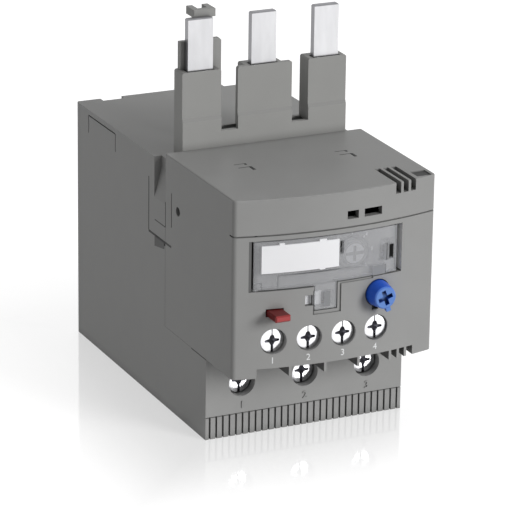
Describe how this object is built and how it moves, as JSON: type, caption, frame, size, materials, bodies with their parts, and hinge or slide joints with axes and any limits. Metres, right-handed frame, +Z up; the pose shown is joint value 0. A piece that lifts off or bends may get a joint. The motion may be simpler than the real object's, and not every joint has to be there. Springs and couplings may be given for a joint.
{
  "type": "thermal overload relay",
  "caption": "A thermal overload relay with plug-in busbars, a setting dial under a hinged clear cover, reset and stop buttons and screw terminals.",
  "frame": {"origin": "middle of the underside of the base", "axes": "+X to the right seen from the front, +Y to the back, +Z up"},
  "size_m": [0.055, 0.1074, 0.1032],
  "materials": {
    "base_grey": "fine moulded texture",
    "shroud_grey": "smooth moulded",
    "frame_grey": "smooth moulded",
    "tinned_copper": "bright tin plate",
    "steel": "zinc plated",
    "brass": "plain",
    "bimetal": "rolled strip",
    "heater_wire": "oxidised resistance strip",
    "mechanism_white": "smooth moulded",
    "slider_white": "smooth moulded",
    "dial_grey": "smooth moulded",
    "cover_clear": "clear moulded plastic",
    "label_white": "blank marking plate",
    "reset_blue": "smooth moulded",
    "plunger_grey": "smooth moulded",
    "stop_red": "smooth moulded"
  },
  "bodies": {
    "relay_body": {"base_housing": "base_grey", "rear_cover": "base_grey", "terminal_shroud": "shroud_grey", "front_housing": "base_grey", "mechanism_frame": "frame_grey", "busbar_1": "tinned_copper", "busbar_2": "tinned_copper", "busbar_3": "tinned_copper", "load_strap_1": "tinned_copper", "load_strap_2": "tinned_copper", "load_strap_3": "tinned_copper", "box_lug_1": "steel", "box_lug_2": "steel", "box_lug_3": "steel", "main_terminal_screws": "steel", "aux_terminal_screws": "steel", "aux_wire_clamps": "steel", "opening_terminal_1": "brass", "opening_terminal_2": "brass", "closing_terminal_1": "brass", "closing_terminal_2": "brass", "reset_spring": "steel", "stop_spring": "steel"},
    "heated_strip_1": {"bimetal_strip_1": "bimetal", "heater_1": "heater_wire"},
    "heated_strip_2": {"bimetal_strip_2": "bimetal", "heater_2": "heater_wire"},
    "heated_strip_3": {"bimetal_strip_3": "bimetal", "heater_3": "heater_wire"},
    "trip_slide": {"trip_slide": "mechanism_white"},
    "setting_dial": {"setting_dial": "dial_grey", "setting_cam": "mechanism_white"},
    "setting_bracket": {"setting_bracket": "frame_grey", "lever_pivot_pin": "steel"},
    "trip_lever": {"trip_lever": "mechanism_white", "compensation_strip": "bimetal"},
    "contact_carriage": {"contact_carriage": "mechanism_white", "opening_bridge": "brass", "closing_bridge": "brass", "bridge_springs": "steel"},
    "trip_flag": {"trip_flag": "slider_white"},
    "reset_plunger": {"reset_plunger": "plunger_grey"},
    "reset_knob": {"reset_knob": "reset_blue"},
    "stop_button": {"stop_button": "stop_red"},
    "test_slider": {"test_slider": "slider_white"},
    "front_cover": {"front_cover": "cover_clear", "marking_plate": "label_white"}
  },
  "joints": [
    {"name": "trip_slide_travel", "type": "slide", "parent": "relay_body", "child": "trip_slide", "axis": [-1, 0, 0], "range_m": [0, 0.002]},
    {"name": "heated_strip_1_bend", "type": "hinge", "parent": "relay_body", "child": "heated_strip_1", "pos_m": [-0.0175, 0.01175, 0.0202], "axis": [0, -1, 0], "range_deg": [0, 4]},
    {"name": "heated_strip_2_bend", "type": "hinge", "parent": "relay_body", "child": "heated_strip_2", "pos_m": [0, 0.01175, 0.0202], "axis": [0, -1, 0], "range_deg": [0, 4]},
    {"name": "heated_strip_3_bend", "type": "hinge", "parent": "relay_body", "child": "heated_strip_3", "pos_m": [0.0175, 0.01175, 0.0202], "axis": [0, -1, 0], "range_deg": [0, 4]},
    {"name": "setting_dial_turn", "type": "hinge", "parent": "relay_body", "child": "setting_dial", "pos_m": [0.0045, -0.05425, 0.051], "axis": [0, 1, 0], "range_deg": [0, 271]},
    {"name": "setting_bracket_travel", "type": "slide", "parent": "relay_body", "child": "setting_bracket", "axis": [-1, 0, 0], "range_m": [0, 0.0008]},
    {"name": "trip_lever_swing", "type": "hinge", "parent": "setting_bracket", "child": "trip_lever", "pos_m": [0.02, -0.03625, 0.033], "axis": [0, -1, 0], "range_deg": [0, 7.3]},
    {"name": "contact_carriage_travel", "type": "slide", "parent": "relay_body", "child": "contact_carriage", "axis": [0, 0, -1], "range_m": [0, 0.00173]},
    {"name": "trip_flag_travel", "type": "slide", "parent": "relay_body", "child": "trip_flag", "axis": [-1, 0, 0], "range_m": [0, 0.0025]},
    {"name": "reset_press", "type": "slide", "parent": "relay_body", "child": "reset_plunger", "axis": [0, 1, 0], "range_m": [0, 0.0025], "stiffness_N_per_m": 600, "springref_m": -0.001, "deforming": ["reset_spring"]},
    {"name": "reset_mode_turn", "type": "hinge", "parent": "reset_plunger", "child": "reset_knob", "pos_m": [0.01045, -0.05725, 0.04035], "axis": [0, 1, 0], "range_deg": [0, 90]},
    {"name": "stop_press", "type": "slide", "parent": "relay_body", "child": "stop_button", "axis": [0, 1, 0], "range_m": [0, 0.0025], "stiffness_N_per_m": 500, "springref_m": -0.001, "deforming": ["stop_spring"]},
    {"name": "test_slider_travel", "type": "slide", "parent": "relay_body", "child": "test_slider", "axis": [1, 0, 0], "range_m": [0, 0.0023]},
    {"name": "front_cover_swing", "type": "hinge", "parent": "relay_body", "child": "front_cover", "pos_m": [-0.02185, -0.05805, 0.051], "axis": [0, 0, -1], "range_deg": [0, 100]}
  ],
  "couplings": [
    {"joint": "heated_strip_1_bend", "follows": "trip_slide_travel", "rad_per_m": 34.843},
    {"joint": "heated_strip_2_bend", "follows": "trip_slide_travel", "rad_per_m": 34.843},
    {"joint": "heated_strip_3_bend", "follows": "trip_slide_travel", "rad_per_m": 34.843},
    {"joint": "trip_lever_swing", "follows": "trip_slide_travel", "rad_per_m": 62.893},
    {"joint": "contact_carriage_travel", "follows": "trip_slide_travel", "ratio": 0.86164},
    {"joint": "trip_flag_travel", "follows": "trip_slide_travel", "ratio": 1.25},
    {"joint": "setting_dial_turn", "follows": "setting_bracket_travel", "rad_per_m": 5890.5}
  ]
}
